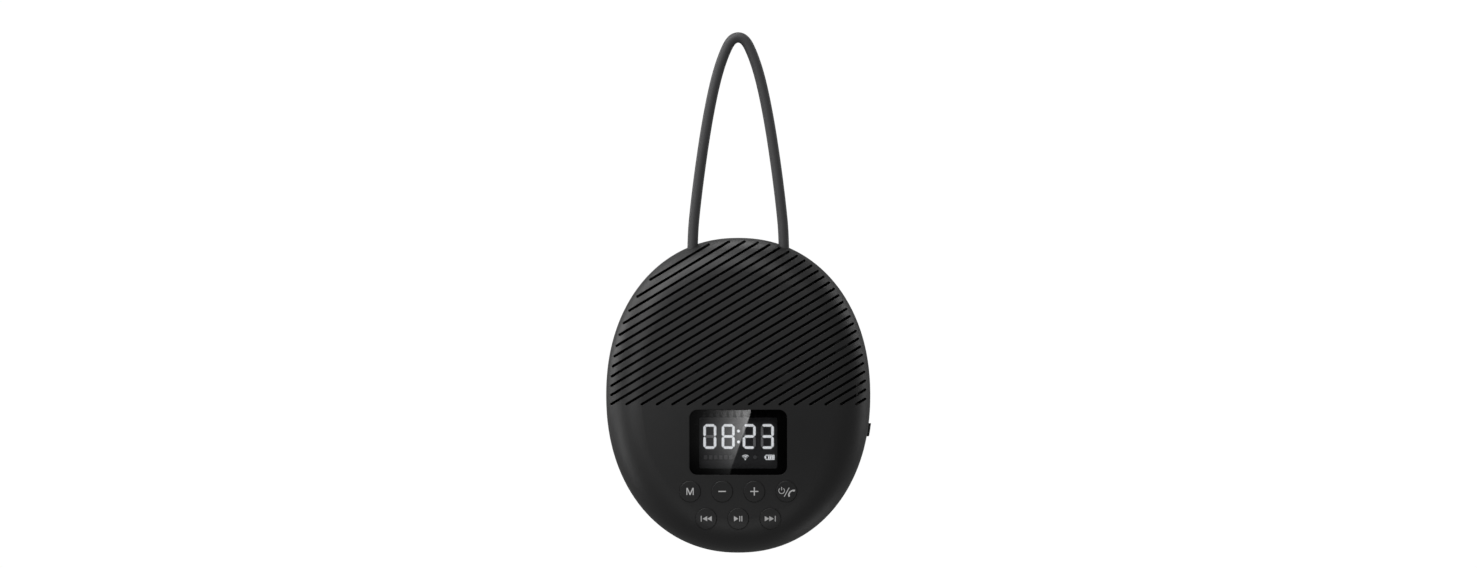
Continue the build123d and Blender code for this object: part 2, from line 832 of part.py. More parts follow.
def port_cover():
    """Rubber flap: rolled hinge end, two plugs and a finger lip."""
    top_z = hinge_z
    bottom_z = recess_bottom_z + cover_gap
    half = port_half_width - cover_gap
    plate = recess(cover_thickness, bottom_z, top_z, half)
    hinge_x = edge_x(hinge_z, 0.0) - hinge_radius
    roll = Pos(hinge_x, port_y, hinge_z) * Rot(90, 0, 0) * Cylinder(hinge_radius, 2 * half)
    cover = plate + roll
    usb_plug = extrude(Pos(51.8, 0, 0) * usb_outline(usb_length - 0.6, usb_height - 0.6), amount=2.6)
    card_plug = card_box((51.9, 54.0), -0.25)
    backing = pebble(cover_thickness - 0.3)
    cover = cover + (usb_plug & backing) + (card_plug & backing)
    lip_window = box_between((body_half_width - 8, body_half_width + 4),
                             (port_y - half + 0.6, port_y + half - 0.6), (lip_bottom_z, lip_top_z))
    lip = layer(lip_window, -lip_proud, 0.5)
    lower_edge = lip.edges().sort_by(Axis.Z)[0:4].sort_by(Axis.X)[-1]
    return cover + fillet(lower_edge, 0.6)


def port_cover_anchor():
    """Fixed root of the flap, held in the wall by a barbed stem."""
    half = port_half_width - 0.05
    plate = recess(cover_thickness + 0.1, anchor_bottom_z, recess_top_z - 0.05, half)
    middle_z = (anchor_bottom_z + recess_top_z) / 2
    stem = Pos(51.0, port_y, middle_z) * Rot(0, 90, 0) * Cylinder(1.45, 5.4)
    barb = Pos(48.4, port_y, middle_z) * Rot(0, 90, 0) * Cylinder(2.3, 1.2)
    return plate + (stem & pebble(0.5)) + barb


# ---------------------------------------------------------------- hanging loop
def cord_route():
    right = [(x, cord_y, z) for x, z in cord_side]
    left = [(-x, cord_y, z) for x, z in reversed(cord_side)]
    return right + left


def cord_radii(route):
    """Each arc is as large as its two runs allow."""
    radii = []
    for before, here, after in zip(route, route[1:], route[2:]):
        into = Vector(*here) - Vector(*before)
        out = Vector(*after) - Vector(*here)
        half_turn = math.radians(into.get_angle(out)) / 2
        radii.append(arc_share * min(into.length, out.length) / math.tan(half_turn))
    return radii


def lanyard_cord():
    route = cord_route()
    radii = cord_radii(route)
    path = FilletPolyline(*route, radius=radii)
    start = Plane(origin=path @ 0, z_dir=path % 0)
    tube = sweep(start * Circle(cord_diameter / 2), path=path)
    expected = path.length * math.pi * cord_diameter ** 2 / 4
    print("cord radii", [round(radius, 1) for radius in radii])
    print("cord length", round(path.length, 2), "volume", round(tube.volume, 1), "of", round(expected, 1))
    return tube


def lanyard_ferrules():
    """Crimped sleeves that stop the cord's ends inside the housing."""
    sleeves = []
    height = ferrule_top_z - ferrule_bottom_z
    for side in (-1, 1):
        sleeve = Cylinder(ferrule_radius, height, align=standing)
        sleeve = chamfer(sleeve.edges().filter_by(GeomType.CIRCLE), 0.3)
        bore = Pos(0, 0, ferrule_floor) * Cylinder(cord_diameter / 2, height, align=standing)
        sleeves.append(Pos(side * cord_side[0][0], cord_y, ferrule_bottom_z) * (sleeve - bore))
    return apart(sleeves)


# ---------------------------------------------------------------- suction cup
def turned_about_y(outline_face):
    return revolve(outline_face, Axis.Y)


def suction_cup():
    """Soft disc whose outer ring lies flat on the wall, with a pull tab below."""
    rim_start = cup_radius - cup_rim_width
    dish = Spline((0, -cup_dish_depth), (rim_start * 0.55, -cup_dish_depth * 0.72), (rim_start, 0),
                  tangents=[(1, 0), (1, 0.12)])
    rim = Polyline((rim_start, 0), (cup_radius, 0), (cup_radius, -cup_rim_thickness))
    back = Spline((cup_radius, -cup_rim_thickness), (cup_radius * 0.62, -cup_dish_depth - 0.4),
                  (cup_neck_radius, cup_back_y + 0.6), tangents=[(-1, -0.05), (-0.5, -1)])
    top = Polyline((cup_neck_radius, cup_back_y + 0.6), (cup_neck_radius - 0.6, cup_back_y), (0, cup_back_y),
                   (0, -cup_dish_depth))
    disc_body = turned_about_y(make_face(dish + rim + back + top))
    socket = Pos(0, cup_back_y + 1.0, 0) * Rot(90, 0, 0) * Cylinder(4.05, 2.0)
    length = 9.0
    tab = slab(Pos(0, -cup_radius - length / 2 + 1.5) * RectangleRounded(12.0, length, 3.5), -0.3, -1.6)
    for rise in (0, 2.0, 4.0):
        rib = Pos(0, -1.6, -cup_radius - 1.5 - rise) * Rot(0, 90, 0) * Cylinder(0.35, 8.0)
        tab = tab + rib
    return (disc_body - socket) + tab


def suction_cup_hub():
    """Hard hub with three bayonet lugs."""
    peg = rod(0, 0, 4.0, cup_back_y + 1.95, cup_back_y)
    flange = rod(0, 0, hub_radius, cup_back_y, hub_flange_y)
    stem = rod(0, 0, hub_stem_radius, hub_flange_y, hub_end_y)
    hub = peg + flange + stem
    for turn in range(3):
        lug = Pos(hub_stem_radius - 1 + 2.5, 0) * Rectangle(5.0, lug_width)
        lug = (Rot(0, 0, 120 * turn + 90) * lug) & Circle(lug_radius)
        hub = hub + slab(lug, lug_back_y, lug_front_y)
    return hub


def socket_screw_places():
    turns = [math.radians(turn) for turn in (105, 225, 345)]
    return [(socket_screw_circle * math.cos(turn), socket_screw_circle * math.sin(turn)) for turn in turns]


def suction_cup_socket():
    """Bayonet ring, with three notches that the lugs pass when turned to the release angle."""
    ring = rod(0, 0, socket_radius, rear_face_y - 0.1, socket_face_y)
    ring = chamfer(ring.edges().sort_by(Axis.Y)[-1], 0.3)
    ring = ring - rod(0, 0, socket_bore_radius, 0, socket_face_y)
    for turn in range(3):
        notch = (Rot(0, 0, 120 * turn + 90 - release_angle) * (Pos(9, 0) * Rectangle(9.0, lug_width + 0.8)))
        notch = notch & Circle(lug_radius + 0.4)
        ring = ring - slab(notch, 0, socket_face_y)
    for x, z in socket_screw_places():
        ring = ring - rod(x, z, small_screw_radius + 0.15, 0, socket_face_y)
        ring = ring - rod(x, z, small_screw_head + 0.1, 0, rear_face_y - 1.4)
    return ring


def socket_screws():
    return apart([screw(x, z, rear_face_y - 1.4, small_screw_head, 1.2, small_screw_radius - 0.01, 4.6)
                  for x, z in socket_screw_places()])


# ---------------------------------------------------------------- all nodes
nodes = {
    "front_shell": front_shell,
    "rear_shell": rear_shell,
    "shell_seal": shell_seal,
    "shell_screws": shell_screws,
    "screw_plugs": screw_plugs,
    "grille_mesh": grille_mesh,
    "display_lens": display_lens,
    "lens_adhesive_frame": lens_frame,
    "display_module": display_module,
    "display_segments_lit": lambda: segments(True),
    "display_segments_unlit": lambda: segments(False),
    "keypad_membrane": keypad,
    "main_board": main_board,
    "tact_switches": tact_switches,
    "wireless_module": wireless_module,
    "control_chips": control_chips,
    "capacitors": capacitors,
    "microphone": microphone,
    "battery_socket": battery_socket,
    "board_screws": lambda: apart(board_screws() + port_board_screws()),
    "speaker_back_plate": speaker_back_plate,
    "speaker_magnet": speaker_magnet,
    "speaker_top_plate": speaker_top_plate,
    "speaker_basket": speaker_basket,
    "speaker_spider": speaker_spider,
    "voice_coil": voice_coil,
    "speaker_cone": speaker_cone,
    "dust_cap": dust_cap,
    "speaker_surround": speaker_surround,
    "speaker_collar": speaker_collar,
    "speaker_terminal": speaker_terminal,
    "speaker_screws": speaker_screws,
    "battery_cell": battery_cell,
    "battery_end_insulators": battery_end_insulators,
    "battery_cradles": battery_cradles,
    "battery_protection_board": protection_board,
    "battery_wires": battery_wires,
    "speaker_wires": speaker_wires,
    "port_board": port_board,
    "usb_port": usb_port,
    "card_slot": card_slot,
    "port_cover": port_cover,
    "port_cover_anchor": port_cover_anchor,
    "lanyard_cord": lanyard_cord,
    "lanyard_ferrules": lanyard_ferrules,
    "suction_cup": suction_cup,
    "suction_cup_hub": suction_cup_hub,
    "suction_cup_socket": suction_cup_socket,
    "socket_screws": socket_screws,
}

for name, make in nodes.items():
    # the front shell's file would be over 32 MB with its parametric curves, which readers work out again
    export_step(make(), f"parts/{name}.step", write_pcurves=name != "front_shell")

for name, (x, z) in button_places.items():
    export_step(button(x, z), f"parts/{name}.step")
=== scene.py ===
import json
import math

import bmesh
import bpy
from mathutils import Matrix, Vector
from mathutils.bvhtree import BVHTree


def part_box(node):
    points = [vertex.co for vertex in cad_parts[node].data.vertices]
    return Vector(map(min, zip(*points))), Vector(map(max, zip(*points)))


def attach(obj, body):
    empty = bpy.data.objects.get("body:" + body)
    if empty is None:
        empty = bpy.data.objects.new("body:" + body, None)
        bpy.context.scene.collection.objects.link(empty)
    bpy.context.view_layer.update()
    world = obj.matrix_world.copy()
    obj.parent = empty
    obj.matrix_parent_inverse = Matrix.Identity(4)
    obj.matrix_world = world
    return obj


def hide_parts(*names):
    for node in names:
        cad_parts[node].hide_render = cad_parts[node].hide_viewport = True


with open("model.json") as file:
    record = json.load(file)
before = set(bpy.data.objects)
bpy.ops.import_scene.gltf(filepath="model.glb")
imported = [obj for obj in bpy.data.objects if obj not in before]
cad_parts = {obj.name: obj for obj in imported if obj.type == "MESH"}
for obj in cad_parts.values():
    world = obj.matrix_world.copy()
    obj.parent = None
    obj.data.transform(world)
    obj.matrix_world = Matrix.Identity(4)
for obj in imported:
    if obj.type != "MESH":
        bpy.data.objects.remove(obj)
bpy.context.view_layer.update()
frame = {"nodes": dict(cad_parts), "record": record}
nodes = frame["nodes"]
scene = bpy.context.scene
print("frame loaded:", len(nodes), "nodes")


# camera
cameraSetup = {
    "x": 0.00011,
    "height": 0.0465,
    "y": -8.605,
    "lens": 500,
}

cameraData = bpy.data.cameras.new("studio_camera")
cameraData.lens = cameraSetup["lens"]
cameraData.sensor_width = 36
camera = bpy.data.objects.new("studio_camera", cameraData)
camera.location = (cameraSetup["x"], cameraSetup["y"], cameraSetup["height"])
camera.rotation_euler = (math.radians(90), 0, 0)
scene.collection.objects.link(camera)
scene.camera = camera
scene.view_settings.view_transform = "Standard"
scene.view_settings.look = "None"
print("camera placed")


# hanging cord: one side of the loop from the sleeve up to the fold, x and z, mirrored for the other side
cordSetup = {
    "diameter": 0.0044,
    "length": 0.2026,
    "y": -0.0345,
    "exit": (0.01915, -0.0345, 0.0618),
    "side": [
        (0.01915, 0.0525),
        (0.01915, 0.066),
        (0.0178, 0.080),
        (0.01565, 0.097),
        (0.0129, 0.115),
        (0.00955, 0.1315),
        (0.0061, 0.1425),
        (0.0025, 0.1495),
    ],
}


def makeCord(setup):
    curve = bpy.data.curves.new("hanging_cord", "CURVE")
    curve.dimensions = "3D"
    curve.bevel_depth = 1        # times each point's radius, which also sets the curve's box
    curve.bevel_resolution = 8
    curve.use_fill_caps = True
    curve.resolution_u = 16
    places = setup["side"] + [(-x, z) for x, z in reversed(setup["side"])]
    spline = curve.splines.new("NURBS")
    spline.points.add(len(places) - 1)
    for point, (x, z) in zip(spline.points, places):
        point.co = (x, setup["y"], z, 1)
        point.radius = setup["diameter"] / 2
    spline.order_u = 3
    spline.use_endpoint_u = True
    piece = bpy.data.objects.new("hanging_cord", curve)
    scene.collection.objects.link(piece)
    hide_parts("lanyard_cord")
    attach(piece, "housing")
    return piece


cord = makeCord(cordSetup)
print("cord made")


# finishes: two tints that clouds blend between, roughness range, then the grain, its scale and its depth in
# metres; edge rounds the sharp edges' shading, shine is the specular level
finishes = {
    "shell_plastic": {"tints": ((0.0130, 0.0130, 0.0134), (0.0155, 0.0155, 0.0158)), "rough": (0.40, 0.48),
                      "grain": "fine", "scale": 2600, "depth": 0.000012, "edge": 0.00018},
    "button_plastic": {"tints": ((0.0125, 0.0125, 0.0129), (0.0150, 0.0150, 0.0153)), "rough": (0.38, 0.46),
                       "grain": "fine", "scale": 2600, "depth": 0.000010, "edge": 0.00010},
    "seal_rubber": {"tints": ((0.020, 0.020, 0.020), (0.030, 0.030, 0.030)), "rough": (0.6, 0.75),
                    "grain": "fine", "scale": 1800, "depth": 0.00002},
    "plug_rubber": {"tints": ((0.018, 0.018, 0.019), (0.026, 0.026, 0.027)), "rough": (0.55, 0.7),
                    "grain": "fine", "scale": 2200, "depth": 0.00002},
    "screw_steel": {"tints": ((0.42, 0.42, 0.43), (0.60, 0.60, 0.61)), "rough": (0.25, 0.42), "metal": 1.0,
                    "grain": "brushed", "scale": 2500, "depth": 0.000008},
    "grille_cloth": {"tints": ((0.0015, 0.0015, 0.0015), (0.004, 0.004, 0.004)), "rough": (0.85, 0.95),
                     "grain": "weave", "scale": 2400, "depth": 0.00006},
    "mask_black": {"tints": ((0.0008, 0.0008, 0.0008), (0.0014, 0.0014, 0.0014)), "rough": (0.7, 0.8),
                   "shine": 0.05, "grain": "fine", "scale": 3000, "depth": 0.000004},
    "display_face": {"tints": ((0.064, 0.064, 0.0655), (0.074, 0.074, 0.076)), "rough": (0.5, 0.6),
                     "shine": 0.05, "grain": "fine", "scale": 4000, "depth": 0.000006},
    "silicone_grey": {"tints": ((0.18, 0.18, 0.19), (0.23, 0.23, 0.24)), "rough": (0.5, 0.65),
                      "grain": "fine", "scale": 900, "depth": 0.00003},
    "board_green": {"tints": ((0.008, 0.060, 0.022), (0.020, 0.130, 0.050)), "rough": (0.22, 0.35),
                    "grain": "traces", "scale": 260, "depth": 0.00002},
    "switch_steel": {"tints": ((0.40, 0.40, 0.40), (0.58, 0.58, 0.58)), "rough": (0.28, 0.42), "metal": 1.0,
                     "grain": "brushed", "scale": 2000, "depth": 0.000008},
    "shield_can": {"tints": ((0.50, 0.50, 0.48), (0.66, 0.66, 0.64)), "rough": (0.24, 0.40), "metal": 1.0,
                   "grain": "brushed", "scale": 1600, "depth": 0.000008},
    "chip_black": {"tints": ((0.012, 0.012, 0.012), (0.022, 0.022, 0.023)), "rough": (0.5, 0.65),
                   "grain": "fine", "scale": 5000, "depth": 0.00001},
    "capacitor_can": {"tints": ((0.50, 0.50, 0.50), (0.66, 0.66, 0.67)), "rough": (0.22, 0.35), "metal": 1.0,
                      "grain": "brushed", "scale": 1800, "depth": 0.000006},
    "connector_white": {"tints": ((0.68, 0.66, 0.60), (0.78, 0.76, 0.71)), "rough": (0.42, 0.55),
                        "grain": "fine", "scale": 2400, "depth": 0.00001},
    "plated_steel": {"tints": ((0.48, 0.48, 0.49), (0.64, 0.64, 0.65)), "rough": (0.25, 0.40), "metal": 1.0,
                     "grain": "turned", "scale": 900, "depth": 0.00001},
    "ferrite": {"tints": ((0.030, 0.030, 0.034), (0.060, 0.060, 0.065)), "rough": (0.6, 0.8),
                "grain": "cells", "scale": 2400, "depth": 0.00003},
    "basket_steel": {"tints": ((0.014, 0.014, 0.014), (0.024, 0.024, 0.024)), "rough": (0.35, 0.5),
                     "grain": "fine", "scale": 1300, "depth": 0.00002},
    "spider_cloth": {"tints": ((0.40, 0.27, 0.08), (0.58, 0.42, 0.16)), "rough": (0.75, 0.9),
                     "grain": "weave", "scale": 1500, "depth": 0.00008},
    "copper_wire": {"tints": ((0.62, 0.26, 0.11), (0.80, 0.40, 0.20)), "rough": (0.25, 0.38), "metal": 1.0,
                    "grain": "winding", "scale": 900, "depth": 0.00006},
    "cone_paper": {"tints": ((0.020, 0.020, 0.020), (0.036, 0.036, 0.035)), "rough": (0.7, 0.88),
                   "grain": "cells", "scale": 900, "depth": 0.00008},
    "surround_rubber": {"tints": ((0.014, 0.014, 0.014), (0.022, 0.022, 0.022)), "rough": (0.5, 0.65),
                        "grain": "fine", "scale": 1600, "depth": 0.00002},
    "foam_black": {"tints": ((0.016, 0.016, 0.016), (0.034, 0.034, 0.034)), "rough": (0.85, 0.95),
                   "grain": "cells", "scale": 1600, "depth": 0.00012},
    "terminal_strip": {"tints": ((0.25, 0.14, 0.05), (0.38, 0.23, 0.10)), "rough": (0.5, 0.65),
                       "grain": "brushed", "scale": 900, "depth": 0.00002},
    "cell_wrap": {"tints": ((0.03, 0.15, 0.42), (0.05, 0.21, 0.52)), "rough": (0.22, 0.34),
                  "grain": "fine", "scale": 500, "depth": 0.00002},
    "insulator_paper": {"tints": ((0.62, 0.58, 0.46), (0.76, 0.72, 0.60)), "rough": (0.8, 0.9),
                        "grain": "cells", "scale": 1800, "depth": 0.00003},
    "wire_red": {"tints": ((0.36, 0.012, 0.012), (0.50, 0.02, 0.02)), "rough": (0.4, 0.5),
                 "grain": "fine", "scale": 1500, "depth": 0.00001},
    "wire_black": {"tints": ((0.014, 0.014, 0.014), (0.024, 0.024, 0.024)), "rough": (0.4, 0.5),
                   "grain": "fine", "scale": 1500, "depth": 0.00001},
    "cover_rubber": {"tints": ((0.0130, 0.0130, 0.0134), (0.0165, 0.0165, 0.0170)), "rough": (0.45, 0.55),
                     "grain": "fine", "scale": 2200, "depth": 0.000012, "edge": 0.00012},
    "cord_silicone": {"tints": ((0.050, 0.050, 0.052), (0.060, 0.060, 0.062)), "rough": (0.48, 0.58),
                      "grain": "fine", "scale": 1700, "depth": 0.000014},
    "ferrule_black": {"tints": ((0.020, 0.020, 0.020), (0.032, 0.032, 0.032)), "rough": (0.35, 0.5),
                      "grain": "brushed", "scale": 1600, "depth": 0.00001},
    "cup_pvc": {"tints": ((0.016, 0.016, 0.017), (0.022, 0.022, 0.023)), "rough": (0.16, 0.26),
                "grain": "fine", "scale": 300, "depth": 0.00003},
    "hub_plastic": {"tints": ((0.016, 0.016, 0.017), (0.022, 0.022, 0.023)), "rough": (0.40, 0.50),
                    "grain": "fine", "scale": 2400, "depth": 0.000012, "edge": 0.00015},
    "symbol_print": {"tints": ((0.64, 0.64, 0.64), (0.74, 0.74, 0.74)), "rough": (0.5, 0.62),
                     "grain": "fine", "scale": 5000, "depth": 0.000004},
}


def newMaterial(name):
    material = bpy.data.materials.new(name)
    material.use_nodes = True
    return material, material.node_tree.nodes, material.node_tree.links


def clouds(tree, links, vector, scale, detail):
    noise = tree.new("ShaderNodeTexNoise")
    noise.inputs["Scale"].default_value = scale
    noise.inputs["Detail"].default_value = detail
    links.new(vector, noise.inputs["Vector"])
    return noise.outputs["Fac"]


def ramp(tree, links, value, start, end, low=0.0, high=1.0):
    part = tree.new("ShaderNodeMapRange")
    for name, number in (("From Min", start), ("From Max", end), ("To Min", low), ("To Max", high)):
        part.inputs[name].default_value = number
    links.new(value, part.inputs["Value"])
    return part.outputs["Result"]


def bands(tree, links, vector, direction, scale):
    wave = tree.new("ShaderNodeTexWave")
    wave.bands_direction = direction
    wave.inputs["Scale"].default_value = scale
    wave.inputs["Distortion"].default_value = 0.15
    links.new(vector, wave.inputs["Vector"])
    return wave.outputs["Fac"]


def stretched(tree, links, vector, scale):
    mapping = tree.new("ShaderNodeMapping")
    mapping.inputs["Scale"].default_value = scale
    links.new(vector, mapping.inputs["Vector"])
    return mapping.outputs["Vector"]


def combine(tree, links, how, first, second):
    maths = tree.new("ShaderNodeMath")
    maths.operation = how
    links.new(first, maths.inputs[0])
    links.new(second, maths.inputs[1])
    return maths.outputs[0]


def grainHeight(tree, links, vector, kind, scale):
    if kind == "brushed":
        return clouds(tree, links, stretched(tree, links, vector, (1, 0.04, 1)), scale, 3)
    if kind == "weave":
        across = bands(tree, links, vector, "X", scale / 6.28)
        down = bands(tree, links, vector, "Z", scale / 6.28)
        return combine(tree, links, "MAXIMUM", across, down)
    if kind == "winding":
        return bands(tree, links, vector, "Y", scale)
    if kind == "turned":
        rings = tree.new("ShaderNodeTexWave")
        rings.wave_type = "RINGS"
        rings.rings_direction = "Y"
        rings.inputs["Scale"].default_value = scale
        rings.inputs["Distortion"].default_value = 0.4
        links.new(vector, rings.inputs["Vector"])
        return rings.outputs["Fac"]
    if kind == "cells":
        cells = tree.new("ShaderNodeTexVoronoi")
        cells.inputs["Scale"].default_value = scale
        links.new(vector, cells.inputs["Vector"])
        return cells.outputs["Distance"]
    if kind == "traces":
        tracks = tree.new("ShaderNodeTexBrick")
        tracks.inputs["Scale"].default_value = scale
        tracks.inputs["Mortar Size"].default_value = 0.06
        tracks.inputs["Color1"].default_value = (0.4, 0.4, 0.4, 1)
        tracks.inputs["Color2"].default_value = (0.6, 0.6, 0.6, 1)
        tracks.inputs["Mortar"].default_value = (1, 1, 1, 1)
        links.new(vector, tracks.inputs["Vector"])
        return tracks.outputs["Fac"]
    return clouds(tree, links, vector, scale, 4)


def makeFinish(name, look):
    material, tree, links = newMaterial(name)
    shader = tree["Principled BSDF"]
    place = tree.new("ShaderNodeTexCoord").outputs["Object"]
    grain = grainHeight(tree, links, place, look["grain"], look["scale"])
    drift = clouds(tree, links, place, 45, 5)

    tint = tree.new("ShaderNodeValToRGB")
    tint.color_ramp.elements[0].color = (*look["tints"][0], 1)
    tint.color_ramp.elements[1].color = (*look["tints"][1], 1)
    tint.color_ramp.elements[0].position = 0.3
    tint.color_ramp.elements[1].position = 0.7
    cloudy = tree.new("ShaderNodeMath")
    cloudy.operation = "MULTIPLY_ADD"
    cloudy.inputs[1].default_value = 0.25
    links.new(grain, cloudy.inputs[0])
    links.new(drift, cloudy.inputs[2])
    links.new(cloudy.outputs[0], tint.inputs["Fac"])
    links.new(tint.outputs["Color"], shader.inputs["Base Color"])

    patches = clouds(tree, links, place, 160, 3)
    links.new(ramp(tree, links, patches, 0, 1, *look["rough"]), shader.inputs["Roughness"])
    shader.inputs["Metallic"].default_value = look.get("metal", 0.0)
    shader.inputs["Specular IOR Level"].default_value = look.get("shine", 0.5)

    bump = tree.new("ShaderNodeBump")
    bump.inputs["Distance"].default_value = look["depth"]
    links.new(grain, bump.inputs["Height"])
    if "edge" in look:
        edge = tree.new("ShaderNodeBevel")
        edge.samples = 4
        edge.inputs["Radius"].default_value = look["edge"]
        links.new(edge.outputs["Normal"], bump.inputs["Normal"])
    links.new(bump.outputs["Normal"], shader.inputs["Normal"])
    return material


# clock window, a thin half-mirror coating: what passes, and the mirrored share seen square on
lensSetup = {
    "clear": (0.87, 0.87, 0.875),
    "mirrored": 0.12,
    "rough": (0.004, 0.014),
}


def makeLens(setup):
    material, tree, links = newMaterial("smoky_lens")
    tree.remove(tree["Principled BSDF"])
    clear = tree.new("ShaderNodeBsdfTransparent")
    clear.inputs["Color"].default_value = (*setup["clear"], 1)
    gloss = tree.new("ShaderNodeBsdfGlossy")
    gloss.inputs["Color"].default_value = (1, 1, 1, 1)
    place = tree.new("ShaderNodeTexCoord").outputs["Object"]
    patches = clouds(tree, links, place, 60, 2)
    links.new(ramp(tree, links, patches, 0, 1, *setup["rough"]), gloss.inputs["Roughness"])
    facing = tree.new("ShaderNodeLayerWeight")      # Schlick's rule
    slope = tree.new("ShaderNodeMath")
    slope.operation = "POWER"
    slope.inputs[1].default_value = 5
    links.new(facing.outputs["Facing"], slope.inputs[0])
    share = tree.new("ShaderNodeMath")
    share.operation = "MULTIPLY_ADD"
    share.inputs[1].default_value = 1 - setup["mirrored"]
    share.inputs[2].default_value = setup["mirrored"]
    links.new(slope.outputs[0], share.inputs[0])
    mix = tree.new("ShaderNodeMixShader")
    links.new(share.outputs[0], mix.inputs["Fac"])
    links.new(clear.outputs["BSDF"], mix.inputs[1])
    links.new(gloss.outputs["BSDF"], mix.inputs[2])
    links.new(mix.outputs["Shader"], tree["Material Output"].inputs["Surface"])
    return material


# the clock's lit segments
glowSetup = {
    "tints": ((0.72, 0.73, 0.75), (0.86, 0.87, 0.88)),
    "rough": 0.4,
    "light": (0.95, 0.98, 1.0),
    "strength": 0.8,
}


def makeGlow(setup):
    material, tree, links = newMaterial("segment_glow")
    shader = tree["Principled BSDF"]
    place = tree.new("ShaderNodeTexCoord").outputs["Object"]
    tint = tree.new("ShaderNodeValToRGB")
    tint.color_ramp.elements[0].color = (*setup["tints"][0], 1)
    tint.color_ramp.elements[1].color = (*setup["tints"][1], 1)
    links.new(clouds(tree, links, place, 900, 3), tint.inputs["Fac"])
    links.new(tint.outputs["Color"], shader.inputs["Base Color"])
    shader.inputs["Roughness"].default_value = setup["rough"]
    shader.inputs["Emission Color"].default_value = (*setup["light"], 1)
    shader.inputs["Emission Strength"].default_value = setup["strength"]
    return material


# the clock's dark segments: the digits' bars are paler than the small marks below them
unlitSetup = {
    "marks": (0.14, 0.14, 0.143),
    "bars": (0.42, 0.42, 0.43),
    "border": (-0.0240, -0.0235),       # z from marks to bars
    "rough": (0.35, 0.5),
}


def makeUnlit(setup):
    material, tree, links = newMaterial("segment_grey")
    shader = tree["Principled BSDF"]
    place = tree.new("ShaderNodeTexCoord").outputs["Object"]
    apart = tree.new("ShaderNodeSeparateXYZ")
    links.new(place, apart.inputs["Vector"])
    height = ramp(tree, links, apart.outputs["Z"], *setup["border"])
    tint = tree.new("ShaderNodeValToRGB")
    tint.color_ramp.elements[0].color = (*setup["marks"], 1)
    tint.color_ramp.elements[1].color = (*setup["bars"], 1)
    links.new(height, tint.inputs["Fac"])
    links.new(tint.outputs["Color"], shader.inputs["Base Color"])
    patches = clouds(tree, links, place, 900, 3)
    links.new(ramp(tree, links, patches, 0, 1, *setup["rough"]), shader.inputs["Roughness"])
    return material


materials = {slot: makeFinish(slot, look) for slot, look in finishes.items()}
materials["smoky_lens"] = makeLens(lensSetup)
materials["segment_glow"] = makeGlow(glowSetup)
materials["segment_grey"] = makeUnlit(unlitSetup)
for part in frame["record"]["subparts"]:
    mesh = nodes[part["node"]].data
    mesh.materials.clear()
    mesh.materials.append(materials[part["material_slot"]])
cord.data.materials.append(materials["cord_silicone"])
print("finishes made:", len(materials))


# symbols printed on the button caps, in millimetres from each cap's middle
printSetup = {
    "lift": 0.00003,
    "sink": 0.00003,
    "step": 0.0006,       # edges longer than this are divided
    "divisions": 4,
}


def bar(x, z, width, height, turn=0.0):
    right, top = width / 2, height / 2
    corners = [(-right, -top), (right, -top), (right, top), (-right, top)]
    spin = Matrix.Rotation(math.radians(turn), 2)
    return [(Vector((x, z)) + spin @ Vector(corner))[:] for corner in corners]


def arrow(x, z, width, height):
    return [(x - width / 2, z - height / 2), (x + width / 2, z), (x - width / 2, z + height / 2)]


def arc(x, z, radius, stroke, start, end, steps=18):
    turns = [math.radians(start + (end - start) * step / steps) for step in range(steps + 1)]
    outside, inside = radius + stroke / 2, radius - stroke / 2
    outer = [(x + outside * math.cos(turn), z + outside * math.sin(turn)) for turn in turns]
    inner = [(x + inside * math.cos(turn), z + inside * math.sin(turn)) for turn in turns]
    return outer + inner[::-1]


def mirrored(outlines):
    return [[(-x, z) for x, z in outline] for outline in outlines]


letterM = [(-1.5, -1.5), (-1.5, 1.5), (-0.98, 1.5), (0, -0.75), (0.98, 1.5), (1.5, 1.5), (1.5, -1.5),
           (1.12, -1.5), (1.12, 0.75), (0.19, -1.5), (-0.19, -1.5), (-1.12, 0.75), (-1.12, -1.5)]
plusSign = [(-1.7, -0.23), (-0.23, -0.23), (-0.23, -1.7), (0.23, -1.7), (0.23, -0.23), (1.7, -0.23),
            (1.7, 0.23), (0.23, 0.23), (0.23, 1.7), (-0.23, 1.7), (-0.23, 0.23), (-1.7, 0.23)]
handset = [(0.72, -1.95), (0.98, -2.3), (1.38, -2.1), (1.5, -1.72), (1.24, -1.38), (1.5, -0.68), (2.0, -0.14),
           (2.66, 0.14), (2.95, -0.14), (3.4, 0.04), (3.7, 0.42), (3.36, 0.74), (2.55, 0.68), (1.6, 0.24),
           (0.98, -0.46), (0.7, -1.2)]
skip = [arrow(-1.4, 0, 1.9, 2.2), arrow(0.5, 0, 1.9, 2.2), bar(2.05, 0, 0.38, 2.4)]
symbols = {
    "button_mode": [letterM],
    "button_volume_down": [bar(0, 0, 3.1, 0.46)],
    "button_volume_up": [plusSign],
    "button_power_call": [arc(-2.0, 0.3, 1.2, 0.28, 128, 412), bar(-2.0, 1.15, 0.3, 1.4),
                          bar(0.1, -0.3, 0.32, 4.3, -29), handset],
    "button_previous": mirrored(skip),
    "button_play_pause": [arrow(-0.9, 0, 1.8, 2.3), bar(0.62, 0, 0.4, 2.3), bar(1.5, 0, 0.4, 2.3)],
    "button_next": skip,
}


